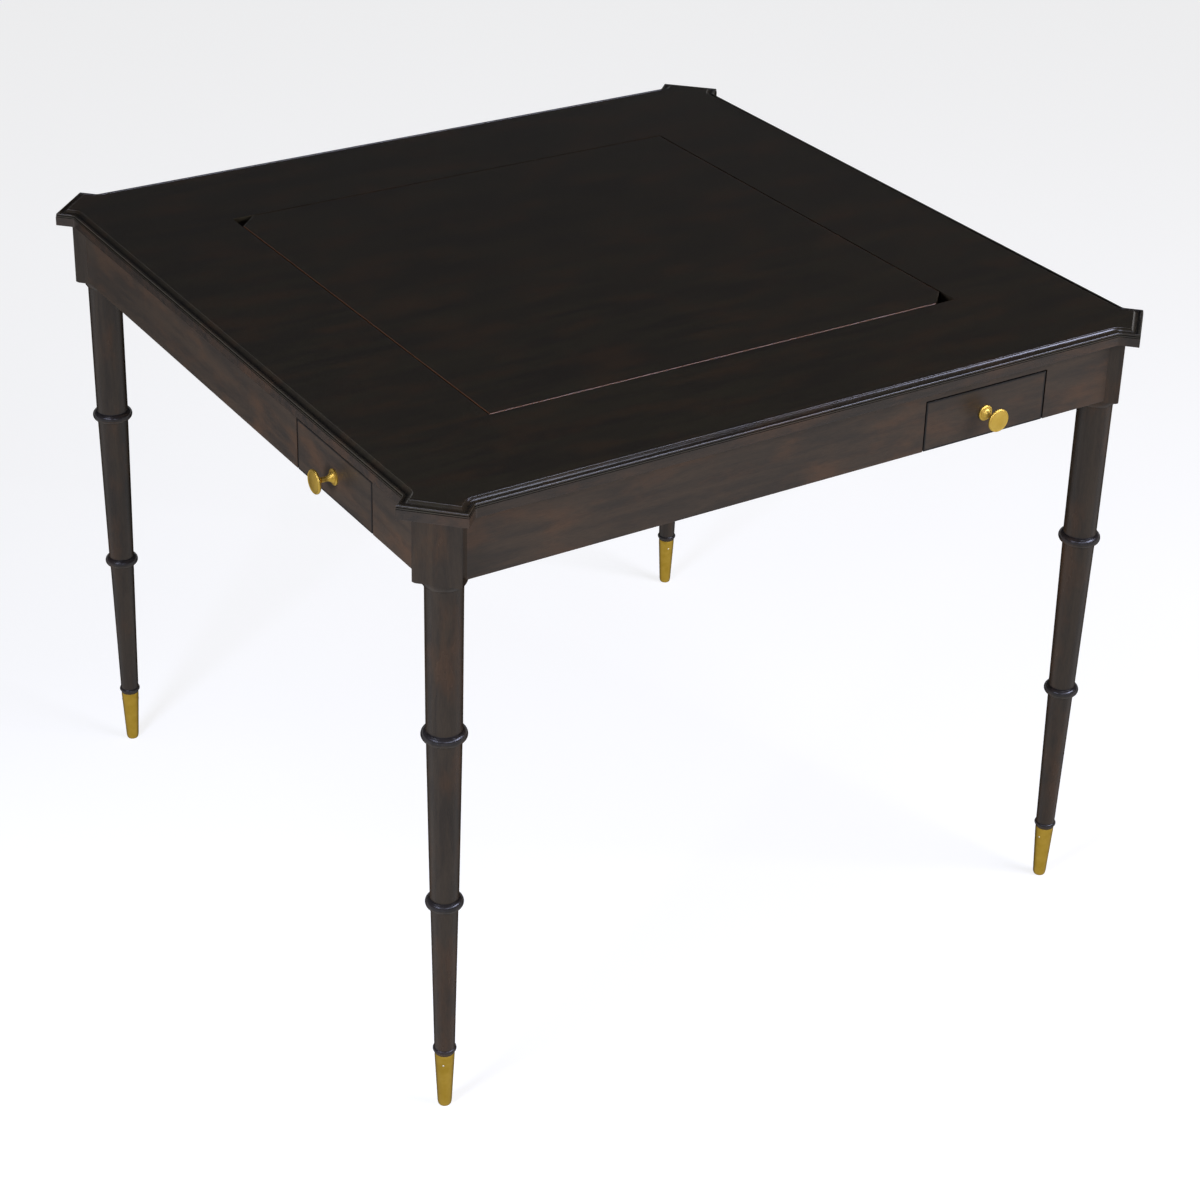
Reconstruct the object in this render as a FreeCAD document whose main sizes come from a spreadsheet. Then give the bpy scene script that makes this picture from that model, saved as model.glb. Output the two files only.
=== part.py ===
import FreeCAD, Part

# Square games table on four turned legs. The moulded top is outset over each leg, its middle
# panel lifts out over a games well, and each of the four aprons holds one small drawer.
# Millimetres, +Z up, origin on the floor under the middle of the table. The front is the -Y
# side, the right the +X side. What repeats on the sides or corners is drawn once, for the
# front side or along +X, and turned about the upright axis.

import math
import os
from types import SimpleNamespace

import Sketcher
from FreeCAD import Placement, Rotation, Vector

LENGTHS = {
    # whole table
    "table_height": 762.0,
    "leg_spacing": 852.0,
    # top boards and how far they stand out over the aprons and leg blocks
    "top_thick": 18.0,
    "top_overhang": 14.2,
    "ear_overhang": 15.5,
    "ear_side_overhang": 11.0,
    "ear_root_radius": 16.0,
    # edge moulding, measured out from the arris of the flat field and down from its surface
    "mould_band": 4.0,
    "arris_round": 0.8,
    "cove_drop": 1.6,
    "cove_bow": 1.0,
    "nose_reach": 10.1,
    "nose_drop": 2.4,
    "nose_radius": 1.5,
    "quirk_reach": 9.2,
    "quirk_height": 0.5,
    "fillet_reach": 10.4,
    "fillet_height": 1.3,
    "groove_reach": 9.4,
    "groove_height": 0.6,
    "fascia_reach": 10.6,
    "fascia_round": 0.8,
    # lift-out panel and its ledges
    "opening_width": 612.0,
    "panel_gap": 1.5,
    "panel_thick": 18.0,
    "finger_cut": 25.0,
    "ledge_width": 12.0,
    "ledge_height": 14.0,
    "ledge_stop": 42.0,
    # games well
    "wall_thick": 12.0,
    "well_depth": 60.0,
    "floor_thick": 9.0,
    # aprons
    "apron_outset": 25.0,
    "apron_height": 75.0,
    "apron_thick": 20.0,
    # drawers
    "drawer_offset": 238.5,
    "drawer_width": 167.0,
    "drawer_height": 59.0,
    "drawer_gap": 1.5,
    "drawer_back_gap": 3.0,
    "front_thick": 20.0,
    "side_thick": 10.0,
    "side_raise": 12.0,
    "side_drop": 2.0,
    "bottom_thick": 5.0,
    "bottom_raise": 6.0,
    "groove_depth": 4.0,
    "lap_depth": 13.0,
    "runner_thick": 12.0,
    "runner_ledge_width": 8.0,
    "runner_ledge_height": 6.0,
    "kicker_width": 24.0,
    # brass knobs, along their axis out from the drawer front
    "knob_raise": 27.5,
    "knob_reach": 25.0,
    "knob_base_radius": 9.0,
    "knob_base_edge": 1.2,
    "knob_base_step": 1.6,
    "knob_base_thick": 2.2,
    "knob_collar_radius": 6.4,
    "knob_collar_edge": 3.6,
    "knob_collar_step": 0.9,
    "knob_trumpet_bow": 1.1,
    "knob_neck_radius": 2.9,
    "knob_neck_start": 11.5,
    "knob_neck_end": 15.0,
    "knob_flare_bow": 1.1,
    "knob_flare_radius": 9.5,
    "knob_flare_end": 19.4,
    "knob_rim_radius": 12.3,
    "knob_rim_start": 20.7,
    "knob_rim_end": 24.3,
    "knob_rim_bow": 1.2,
    "knob_face_radius": 11.2,
    "knob_face_edge": 24.0,
    "knob_post_radius": 2.0,
    "knob_post_end": 1.2,
    "knob_nut_radius": 4.0,
    "knob_nut_thick": 3.0,
    # leg block
    "block_width": 52.0,
    "block_edge": 1.0,
    "block_foot": 667.0,
    "block_foot_round": 3.0,
    "shoulder_radius": 24.5,
    "shoulder_height": 10.5,
    "shoulder_bow": 1.3,
    "shoulder_line": 0.6,
    # turned leg, heights above the floor and radii
    "shaft_top_radius": 20.2,
    "shaft_foot_radius": 19.3,
    "upper_bead_height": 480.5,
    "upper_bead_thick": 12.0,
    "upper_bead_bow": 5.1,
    "bead_ring_thick": 1.3,
    "bead_ring_reach": 0.6,
    "middle_top_radius": 18.8,
    "middle_foot_radius": 15.6,
    "lower_bead_height": 271.5,
    "lower_bead_thick": 11.5,
    "lower_bead_bow": 5.1,
    "ankle_top_radius": 14.9,
    "ankle_foot_radius": 11.3,
    "foot_bead_height": 76.7,
    "foot_bead_thick": 5.5,
    "foot_bead_bow": 1.9,
    "foot_neck_radius": 10.9,
    # ferrules
    "ferrule_height": 67.0,
    "ferrule_top_radius": 10.5,
    "ferrule_foot_radius": 7.9,
    "ferrule_bend_height": 5.0,
    "ferrule_sole_radius": 6.6,
    "ferrule_sole_bow": 0.5,
    "ferrule_wall": 1.2,
    "ferrule_sole": 2.0,
    "pin_height": 50.0,
    "pin_radius": 0.8,
    "pin_depth": 6.0,
    "pin_head_radius": 1.4,
    "pin_head_stand": 0.1,
    "pin_head_flat": 0.9,
    "pin_head_reach": 0.8,
    # corner blocks, hanger bolts and top screws
    "corner_thick": 25.0,
    "corner_height": 50.0,
    "bolt_radius": 4.0,
    "bolt_drop": 27.0,
    "bolt_leg_depth": 32.0,
    "bolt_end": 2.5,
    "nut_radius": 7.5,
    "nut_thick": 6.5,
    "washer_radius": 9.0,
    "washer_thick": 1.6,
    "screw_radius": 2.0,
    "screw_spread": 22.0,
    "screw_bite": 12.0,
    "screw_head_radius": 4.0,
    "screw_head_height": 3.0,
    # how far a cutter runs past what it cuts
    "overrun": 5.0,
}

SIDES = ("front", "right", "back", "left")
CORNERS = ("front_left", "front_right", "back_right", "back_left")

doc = FreeCAD.newDocument("games_table")
pieces = []


class Size:
    """A length from the sheet, or one worked out from it, with the formula that binds it."""

    def __init__(self, value, formula):
        self.value = value
        self.formula = formula

    def joined(self, sign, other, value):
        return Size(value, "(%s %s %s)" % (self.formula, sign, other.formula))

    def __add__(self, other):
        return self.joined("+", other, self.value + other.value)

    def __sub__(self, other):
        return self.joined("-", other, self.value - other.value)

    def __mul__(self, other):
        other = as_size(other)
        return self.joined("*", other, self.value * other.value)

    def __truediv__(self, other):
        other = as_size(other)
        return self.joined("/", other, self.value / other.value)

    def __neg__(self):
        return Size(-self.value, "(0 - %s)" % self.formula)

    def root(self):
        return Size(math.sqrt(self.value), "sqrt(%s)" % self.formula)


def as_size(number):
    """A plain count or ratio as a Size."""
    if isinstance(number, Size):
        return number
    return Size(float(number), repr(float(number)))


def read_sheet():
    """Writes the named lengths to the sheet and reads them back as Sizes."""
    sheet = doc.addObject("Spreadsheet::Sheet", "sizes")
    for row, (alias, length) in enumerate(LENGTHS.items(), start=1):
        sheet.set("A%d" % row, alias)
        sheet.set("B%d" % row, str(length))
        sheet.setAlias("B%d" % row, alias)
    doc.recompute()
    return SimpleNamespace(**{alias: Size(float(sheet.get(alias)), "sizes." + alias)
                              for alias in LENGTHS})


s = read_sheet()
ZERO = Size(0.0, "0")
EIGHTH = math.radians(45)
ROOT_TWO = Size(math.sqrt(2), "sqrt(2)")

# levels
top_under = s.table_height - s.top_thick
ledge_top = s.table_height - s.panel_thick
well_floor_top = top_under - s.well_depth
apron_foot = top_under - s.apron_height
drawer_top = apron_foot + s.drawer_height
drawer_opening_top = drawer_top + s.drawer_gap

# distances out from the middle of the table
leg_offset = s.leg_spacing / 2
leg_reach = leg_offset * ROOT_TWO
block_half = s.block_width / 2
apron_face = leg_offset + s.apron_outset
apron_back = apron_face - s.apron_thick
opening_half = s.opening_width / 2
wall_out = opening_half + s.wall_thick
field_half = apron_face + s.top_overhang - s.fascia_reach
ear_reach = leg_reach + block_half + s.ear_overhang - s.fascia_reach
ear_half = block_half + s.ear_side_overhang - s.fascia_reach


def bind(thing, **sizes):
    """Binds the named properties of an object to their formulas."""
    for name, size in sizes.items():
        setattr(thing, name, size.value)
        thing.setExpression(name, size.formula)


def place(thing, base=(ZERO, ZERO, ZERO), angle=0.0, tilt=0.0):
    """Turns an object about the upright axis, after tilting it about X, and sets its base."""
    turn = Rotation(Vector(0, 0, 1), angle).multiply(Rotation(Vector(1, 0, 0), tilt))
    thing.Placement = Placement(Vector(*[size.value for size in base]), turn)
    for axis, size in zip("xyz", base):
        thing.setExpression("Placement.Base." + axis, size.formula)
    return thing


def turned(spot, quarters):
    """A spot (x, y, z) turned about the upright axis by quarter turns."""
    x, y, z = spot
    for _ in range(quarters):
        x, y = -y, x
    return x, y, z


def block(name, low, high, quarter=0):
    """A plain block between two opposite corners, then turned by quarter turns."""
    solid = doc.addObject("Part::Box", name)
    bind(solid, Length=high[0] - low[0], Width=high[1] - low[1], Height=high[2] - low[2])
    return place(solid, turned(low, quarter), 90 * quarter)


def rod(name, radius, length, base, angle=0.0, tilt=0.0):
    """A round bar that starts at a base and runs along +Z, before it is tilted and turned."""
    solid = doc.addObject("Part::Cylinder", name)
    bind(solid, Radius=radius, Height=length)
    return place(solid, base, angle, tilt)


def cut(name, base, *tools):
    """A piece with one or more others cut out of it."""
    for step, tool in enumerate(tools, start=1):
        result = doc.addObject("Part::Cut", name if step == len(tools) else "%s_%d" % (name, step))
        result.Base = base
        result.Tool = tool
        base = result
    return base


def group(name, members):
    """Alike pieces kept together as separate solids."""
    compound = doc.addObject("Part::Compound", name)
    compound.Links = members
    return compound


def piece(thing, name):
    """Marks an object as one piece of the table, under the name of its file."""
    thing.Label = name
    pieces.append(thing)
    return thing


def new_body(name):
    return doc.addObject("PartDesign::Body", name)


def sketch_on(body, role, name):
    """A sketch on one of its body's own origin planes."""
    sketch = body.newObject("Sketcher::SketchObject", name)
    plane = [item for item in body.Origin.OriginFeatures if item.Role == role][0]
    sketch.AttachmentSupport = [(plane, "")]
    sketch.MapMode = "FlatFace"
    return sketch


def bow_middle(start, end, bow):
    """The middle of an arc that bows to the right of its way from start to end."""
    along = (end - start).normalize()
    return (start + end) * 0.5 + Vector(along.y, -along.x, 0) * bow


def bowed_arc(start, end, bow):
    """Arc between two spots that swells by a bow to the right of its way, counter-clockwise."""
    if bow < 0:
        start, end = end, start
    chord = start.distanceToPoint(end)
    radius = (chord * chord / 4 + bow * bow) / (2 * abs(bow))
    middle = bow_middle(start, end, abs(bow))
    centre = middle + ((start + end) * 0.5 - middle).normalize() * radius
    angles = [math.atan2(spot.y - centre.y, spot.x - centre.x) for spot in (start, end)]
    if angles[1] < angles[0]:
        angles[1] += 2 * math.pi
    return Part.ArcOfCircle(Part.Circle(centre, Vector(0, 0, 1), radius), *angles)


def outline(sketch, corners):
    """Closed outline through corners (x, y) or (x, y, bow), bound to their formulas.

    A bow makes the side after its corner an arc that swells that far to the right of its way.
    """
    spots = [Vector(corner[0].value, corner[1].value, 0) for corner in corners]
    sides = []
    for corner, start, end in zip(corners, spots, spots[1:] + spots[:1]):
        bow = corner[2].value if len(corner) == 3 else 0
        curve = bowed_arc(start, end, bow) if bow else Part.LineSegment(start, end)
        first, last = (2, 1) if bow < 0 else (1, 2)
        sides.append((sketch.addGeometry(curve, False), first, last))
    for corner, this, following in zip(corners, sides, sides[1:] + sides[:1]):
        side, first, last = this
        sketch.addConstraint(Sketcher.Constraint("Coincident", side, last, *following[:2]))
        for kind, size in zip(("DistanceX", "DistanceY"), corner):
            tie(sketch, Sketcher.Constraint(kind, side, first, size.value), size)
    for corner, after, (side, _, _) in zip(corners, corners[1:] + corners[:1], sides):
        if len(corner) == 3:
            radius = arc_radius(corner, after, corner[2])
            tie(sketch, Sketcher.Constraint("Radius", side, radius.value), radius)


def tie(sketch, constraint, size):
    """Adds a constraint whose value follows a formula."""
    index = sketch.addConstraint(constraint)
    sketch.setExpression("Constraints[%d]" % index, size.formula)


def arc_radius(start, end, bow):
    """Radius of the arc between two corners that swells by a bow in its middle."""
    across = end[0] - start[0]
    along = end[1] - start[1]
    chord_squared = across * across + along * along
    size = (chord_squared / 4 + bow * bow) / (bow * 2)
    return size if size.value > 0 else -size


def pad(body, sketch, name, length):
    """Pads a sketch by a length, along its normal."""
    feature = body.newObject("PartDesign::Pad", name)
    feature.Profile = sketch
    bind(feature, Length=length)
    sketch.Visibility = False
    return feature


def revolve(body, sketch, name):
    """Turns a sketch right round its own upright axis."""
    feature = body.newObject("PartDesign::Revolution", name)
    feature.Profile = sketch
    feature.ReferenceAxis = (sketch, ["V_Axis"])
    feature.Angle = 360
    return feature


def corner_spot(reach, across, height, corner):
    """A spot given from a leg's axis: outward along the diagonal, across it, and its height."""
    x = -leg_offset - reach / ROOT_TWO + across / ROOT_TWO
    y = -leg_offset - reach / ROOT_TWO - across / ROOT_TWO
    return turned((x, y, height), corner)


def corner_angle(corner):
    """Direction of the outward diagonal at a corner, in degrees."""
    return 225 + 90 * corner


def corner_rod(name, radius, length, start, height, corner, across=ZERO):
    """A round bar along the diagonal, from a start outside its end, running inward."""
    return rod(name, radius, length, corner_spot(start, across, height, corner),
               corner_angle(corner) - 90, 90)


# moulded top


def moulding_section(at, out):
    """Section of the moulded edge as a face, on a spot of the arris line, facing outward."""
    half_round = 1 - math.cos(EIGHTH)
    nose_middle = s.nose_reach.value - s.nose_radius.value
    nose_level = s.nose_drop.value + s.nose_radius.value
    nose_lean = s.nose_radius.value * math.cos(EIGHTH)
    quirk_level = nose_level + nose_lean
    fillet_level = quirk_level + s.quirk_height.value
    groove_level = fillet_level + s.fillet_height.value
    fascia_level = groove_level + s.groove_height.value
    arris = s.arris_round.value
    foot = s.fascia_round.value
    thick = s.top_thick.value
    corners = (
        (-s.mould_band.value, 0, 0),
        (-arris, 0, arris * half_round),
        (0, arris, 0),
        (0, s.cove_drop.value, -s.cove_bow.value),
        (nose_middle - s.nose_radius.value, nose_level, s.nose_radius.value),
        (s.nose_reach.value, nose_level, s.nose_radius.value * (1 - math.cos(EIGHTH / 2))),
        (nose_middle + nose_lean, quirk_level, 0),
        (s.quirk_reach.value, quirk_level, 0),
        (s.quirk_reach.value, fillet_level, 0),
        (s.fillet_reach.value, fillet_level, 0),
        (s.fillet_reach.value, groove_level, 0),
        (s.groove_reach.value, groove_level, 0),
        (s.groove_reach.value, fascia_level, 0),
        (s.fascia_reach.value, fascia_level, 0),
        (s.fascia_reach.value, thick - foot, foot * half_round),
        (s.fascia_reach.value - foot, thick, 0),
        (-s.mould_band.value, thick, 0),
    )
    edges = []
    for (reach, drop, bow), (next_reach, next_drop, _) in zip(corners, corners[1:] + corners[:1]):
        flat = [Vector(reach, drop, 0), Vector(next_reach, next_drop, 0)]
        if bow:
            flat.insert(1, bow_middle(flat[0], flat[1], bow))
        spots = [at + out * spot.x - Vector(0, 0, spot.y) for spot in flat]
        curve = Part.Arc(*spots) if bow else Part.LineSegment(*spots)
        edges.append(curve.toShape())
    return Part.Face(Part.Wire(edges))


def ear_plan(offset):
    """Spots of half an ear's plan, set off from the arris line, for an ear along +X.

    They are its outer corner, the centre of its root arc, and the three spots of that arc from
    the ear to the table's side.
    """
    half = ear_half.value + offset
    radius = s.ear_root_radius.value - offset
    meet = (field_half.value + offset) * ROOT_TWO.value - half
    corner = Vector(ear_reach.value + offset, half, 0)
    centre = Vector(meet + radius * math.tan(EIGHTH / 2), half + radius, 0)
    arc = [centre - Vector(math.sin(step * EIGHTH / 2), math.cos(step * EIGHTH / 2), 0) * radius
           for step in range(3)]
    return corner, centre, arc


def mirrored(spot):
    return Vector(spot.x, -spot.y, spot.z)


def field_slab():
    """The board inside the moulding, over its full thickness, as one slab."""
    corner, _, (near, middle, far) = ear_plan(-s.mould_band.value)
    runs = ([mirrored(far), mirrored(middle), mirrored(near)],
            [mirrored(near), mirrored(corner)],
            [mirrored(corner), corner],
            [corner, near],
            [near, middle, far])
    edges = []
    for quarter in range(4):
        turn, next_turn = [Rotation(Vector(0, 0, 1), corner_angle(quarter + step))
                           for step in range(2)]
        for run in runs:
            spots = [turn.multVec(spot) for spot in run]
            curve = Part.Arc(*spots) if len(spots) == 3 else Part.LineSegment(*spots)
            edges.append(curve.toShape())
        side = Part.LineSegment(turn.multVec(far), next_turn.multVec(mirrored(far)))
        edges.append(side.toShape())
    slab = Part.Face(Part.Wire(edges)).extrude(Vector(0, 0, s.top_thick.value))
    slab.translate(Vector(0, 0, top_under.value))
    return slab


def ear_edges():
    """Moulded edge of one ear along +X: its two root arcs, its two flanks and its end."""
    corner, centre, arc = ear_plan(0)
    top = Vector(0, 0, s.table_height.value)
    beyond = s.fascia_reach.value + s.overrun.value
    inside = s.mould_band.value
    rise = Vector(0, 0, s.top_thick.value + 2 * s.overrun.value)
    rim = [corner + Vector(-inside, -inside, 0), corner + Vector(beyond, beyond, 0)]
    rim += [mirrored(rim[1]), mirrored(rim[0])]
    wedge = Part.Face(Part.makePolygon(rim + rim[:1])).extrude(rise)
    wedge.translate(Vector(0, 0, top_under.value - s.overrun.value))
    across = Vector(0, corner.y + beyond, 0)
    end = moulding_section(mirrored(Vector(corner.x, across.y, 0)) + top, Vector(1, 0, 0))
    parts = [end.extrude(across * 2).common(wedge)]
    for flip in (1, -1):
        out = Vector(0, flip, 0)
        spot = Vector(arc[0].x, flip * arc[0].y, 0) + top
        axis = Vector(centre.x, flip * centre.y, 0)
        section = moulding_section(spot, out)
        parts.append(section.extrude(Vector(corner.x - arc[0].x + beyond, 0, 0)).cut(wedge))
        parts.append(section.revolve(axis, Vector(0, 0, 1), -flip * math.degrees(EIGHTH)))
    return parts


def moulded_blank():
    """The whole top in one piece, before it is divided into boards."""
    _, _, arc = ear_plan(0)
    half_side = (arc[2].x - arc[2].y) / ROOT_TWO.value
    start = Vector(-half_side, -field_half.value, s.table_height.value)
    side = moulding_section(start, Vector(0, -1, 0)).extrude(Vector(2 * half_side, 0, 0))
    parts = []
    for quarter in range(4):
        for edge in ear_edges():
            edge.rotate(Vector(0, 0, 0), Vector(0, 0, 1), corner_angle(quarter))
            parts.append(edge)
        turned_side = side.copy()
        turned_side.rotate(Vector(0, 0, 0), Vector(0, 0, 1), 90 * quarter)
        parts.append(turned_side)
    blank = doc.addObject("Part::Feature", "moulded_blank")
    blank.Shape = field_slab().multiFuse(parts).removeSplitter()
    return blank


def top_screw(name, corner, across):
    """A countersunk screw up through a corner block into the top."""
    foot = top_under - s.corner_height
    reach = -block_half - s.corner_thick / 2
    base = corner_spot(reach, across, foot, corner)
    shank = rod(name + "_shank", s.screw_radius, s.corner_height + s.screw_bite, base)
    head = doc.addObject("Part::Cone", name + "_head")
    bind(head, Radius1=s.screw_head_radius, Radius2=s.screw_radius, Height=s.screw_head_height)
    place(head, base)
    whole = doc.addObject("Part::Fuse", name)
    whole.Base = shank
    whole.Tool = head
    return whole


def top_boards():
    """Four boards round the panel opening, cut from the moulded blank."""
    blank = moulded_blank()
    far = ear_reach + s.fascia_reach + s.overrun
    low = top_under - s.overrun
    high = s.table_height + s.overrun
    for quarter, side in enumerate(SIDES):
        half_length = far if side in ("front", "back") else opening_half
        cut_box = block("top_board_%s_bounds" % side, (-half_length, -far, low),
                        (half_length, -opening_half, high), quarter)
        board = doc.addObject("Part::Common", "top_board_%s_blank" % side)
        board.Base = blank
        board.Tool = cut_box
        if side in ("left", "right"):
            piece(board, "top_board_" + side)
            continue
        corners = (0, 1) if side == "front" else (2, 3)
        bores = [top_screw("screw_bore_%d_%s" % (corner, hand), corner, across)
                 for corner in corners
                 for hand, across in (("a", s.screw_spread), ("b", -s.screw_spread))]
        piece(cut("top_board_bored_" + side, board, *bores), "top_board_" + side)


def lift_out_panel():
    """Square middle panel with two opposite corners cut off as finger holes."""
    half = opening_half - s.panel_gap
    nick = half - s.finger_cut
    body = new_body("panel_body")
    plan = sketch_on(body, "XY_Plane", "panel_plan")
    outline(plan, [(-half, -half), (nick, -half), (half, -nick), (half, half), (-nick, half),
                   (-half, nick)])
    pad(body, plan, "panel_pad", s.panel_thick)
    piece(place(body, (ZERO, ZERO, ledge_top)), "lift_out_panel")


# games well


def games_well():
    """Box under the panel: four walls on a floor, with ledges that carry the panel."""
    strips = []
    for quarter, side in enumerate(SIDES):
        half = wall_out if side in ("front", "back") else opening_half
        piece(block("well_wall_%s_box" % side, (-half, -wall_out, well_floor_top),
                    (half, -opening_half, top_under), quarter), "well_wall_" + side)
        reach = opening_half - s.ledge_stop
        strips.append(block("ledge_" + side,
                            (-reach, -opening_half, ledge_top - s.ledge_height),
                            (reach, -opening_half + s.ledge_width, ledge_top), quarter))
    piece(group("ledges", strips), "panel_ledges")
    piece(block("well_floor_box", (-wall_out, -wall_out, well_floor_top - s.floor_thick),
                (wall_out, wall_out, well_floor_top)), "well_floor")


# aprons and what carries the drawers


def apron(quarter, side):
    """Apron with mitred ends against the leg blocks and an opening for its drawer."""
    block_corner = block_half * ROOT_TWO
    face_end = leg_offset - block_corner + s.apron_outset
    back_end = leg_offset - block_corner + (apron_back - leg_offset)
    body = new_body("apron_%s_board" % side)
    plan = sketch_on(body, "XY_Plane", "apron_%s_plan" % side)
    outline(plan, [(-face_end, -apron_face), (face_end, -apron_face), (back_end, -apron_back),
                   (-back_end, -apron_back)])
    pad(body, plan, "apron_%s_pad" % side, s.apron_height)
    place(body, (ZERO, ZERO, apron_foot))
    half = s.drawer_width / 2 + s.drawer_gap
    notch = block("apron_%s_notch" % side,
                  (s.drawer_offset - half, -apron_face - s.overrun, apron_foot - s.overrun),
                  (s.drawer_offset + half, -apron_back + s.overrun, drawer_opening_top))
    whole = cut("apron_%s_cut" % side, body, notch)
    piece(place(whole, angle=90 * quarter), "apron_" + side)


def runner(name, inner, hand, quarter):
    """L-shaped runner from the apron to the well wall. Its ledge reaches under the drawer."""
    foot = apron_foot + s.side_raise - s.runner_ledge_height
    web = inner + s.runner_thick * hand
    lip = inner - (s.runner_ledge_width + s.drawer_gap) * hand
    ledge = foot + s.runner_ledge_height
    corners = [(lip, foot), (web, foot), (web, top_under), (inner, top_under), (inner, ledge),
               (lip, ledge)]
    body = new_body(name)
    end = sketch_on(body, "XZ_Plane", name + "_end")
    outline(end, corners)
    pad(body, end, name + "_pad", apron_back - wall_out)
    return place(body, turned((ZERO, -wall_out, ZERO), quarter), 90 * quarter)


def drawer_runners(quarter, side):
    """Two runners and, over the drawer, the kicker that keeps it level when it is out."""
    half = s.drawer_width / 2 + s.drawer_gap
    members = [runner("runner_%s_a" % side, s.drawer_offset - half, -1, quarter),
               runner("runner_%s_b" % side, s.drawer_offset + half, 1, quarter),
               block("kicker_" + side,
                     (s.drawer_offset - s.kicker_width / 2, -apron_back, drawer_opening_top),
                     (s.drawer_offset + s.kicker_width / 2, -wall_out, top_under), quarter)]
    piece(group("runners_" + side, members), "drawer_runners_" + side)


# drawers


def knob_outline():
    """Half outline of a knob and its post, radius against height out from the drawer front."""
    post_foot = -s.front_thick - s.knob_nut_thick - s.knob_post_end
    base_step = s.knob_base_radius - s.knob_base_step
    collar_step = s.knob_collar_radius - s.knob_collar_step
    return [
        (ZERO, post_foot),
        (s.knob_post_radius, post_foot),
        (s.knob_post_radius, ZERO),
        (s.knob_base_radius, ZERO),
        (s.knob_base_radius, s.knob_base_edge),
        (base_step, s.knob_base_thick),
        (s.knob_collar_radius, s.knob_base_thick),
        (collar_step, s.knob_collar_edge, -s.knob_trumpet_bow),
        (s.knob_neck_radius, s.knob_neck_start),
        (s.knob_neck_radius, s.knob_neck_end, -s.knob_flare_bow),
        (s.knob_flare_radius, s.knob_flare_end),
        (s.knob_rim_radius, s.knob_rim_start, s.knob_rim_bow),
        (s.knob_rim_radius, s.knob_rim_end),
        (s.knob_face_radius, s.knob_face_edge,
         dome_bow(s.knob_face_radius, s.knob_reach - s.knob_face_edge)),
        (ZERO, s.knob_reach),
    ]


def knob(quarter, side, spot):
    """Turned knob with its post through the drawer front and a nut behind."""
    body = new_body("knob_%s_body" % side)
    half = sketch_on(body, "XZ_Plane", "knob_%s_outline" % side)
    outline(half, knob_outline())
    revolve(body, half, "knob_%s_turned" % side)
    place(body, turned(spot, quarter), 90 * quarter, 90)
    x, y, height = spot
    behind = turned((x, y + s.front_thick + s.knob_nut_thick, height), quarter)
    nut = doc.addObject("Part::Prism", "knob_%s_nut_blank" % side)
    nut.Polygon = 6
    bind(nut, Circumradius=s.knob_nut_radius, Height=s.knob_nut_thick)
    place(nut, behind, 90 * quarter, 90)
    bore = rod("knob_%s_nut_bore" % side, s.knob_post_radius, s.knob_nut_thick + s.overrun,
               behind, 90 * quarter, 90)
    threaded = cut("knob_%s_nut" % side, nut, bore)
    piece(group("knob_%s_set" % side, [body, threaded]), "knob_" + side)


def drawer(quarter, side):
    """Small drawer: rebated front, two grooved sides, a back that stands on the bottom."""
    left = s.drawer_offset - s.drawer_width / 2
    right = s.drawer_offset + s.drawer_width / 2
    front_back = -apron_face + s.front_thick
    side_front = front_back - s.lap_depth
    tail = -wall_out - s.drawer_back_gap
    side_foot = apron_foot + s.side_raise
    side_top = drawer_top - s.side_drop
    bottom_low = side_foot + s.bottom_raise
    bottom_high = bottom_low + s.bottom_thick
    bottom_left = left + s.side_thick - s.groove_depth
    bottom_right = right - s.side_thick + s.groove_depth
    bottom_front = front_back - s.groove_depth
    bottom_corners = ((bottom_left, bottom_front, bottom_low), (bottom_right, tail, bottom_high))
    groove = block("groove_" + side, *bottom_corners)
    laps = [block("lap_%s_%s" % (hand, side), (low, side_front, side_foot),
                  (high, front_back + s.overrun, side_top))
            for hand, low, high in (("left", left - s.overrun, left + s.side_thick),
                                    ("right", right - s.side_thick, right + s.overrun))]
    knob_spot = (s.drawer_offset, -apron_face, apron_foot + s.knob_raise)
    bore = rod("knob_bore_" + side, s.knob_post_radius, s.front_thick + s.overrun * 2,
               (knob_spot[0], front_back + s.overrun, knob_spot[2]), 0, 90)
    face = block("front_%s_blank" % side, (left, -apron_face, apron_foot),
                 (right, front_back, drawer_top))
    whole = cut("front_%s_cut" % side, face, groove, bore, *laps)
    piece(place(whole, angle=90 * quarter), "drawer_front_" + side)
    for hand, low in (("left", left), ("right", right - s.side_thick)):
        board = block("side_%s_%s_blank" % (hand, side), (low, side_front, side_foot),
                      (low + s.side_thick, tail, side_top))
        grooved = cut("side_%s_%s_cut" % (hand, side), board, groove)
        piece(place(grooved, angle=90 * quarter), "drawer_side_%s_%s" % (hand, side))
    piece(block("back_%s_board" % side, (left + s.side_thick, tail - s.side_thick, bottom_high),
                (right - s.side_thick, tail, side_top), quarter), "drawer_back_" + side)
    piece(block("bottom_%s_board" % side, *bottom_corners, quarter), "drawer_bottom_" + side)
    knob(quarter, side, knob_spot)


# legs


def bead(middle, thick, foot_radius, bow):
    """Half-round bead: the corner where it starts, with its bow."""
    return foot_radius, middle - thick / 2, bow


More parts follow.
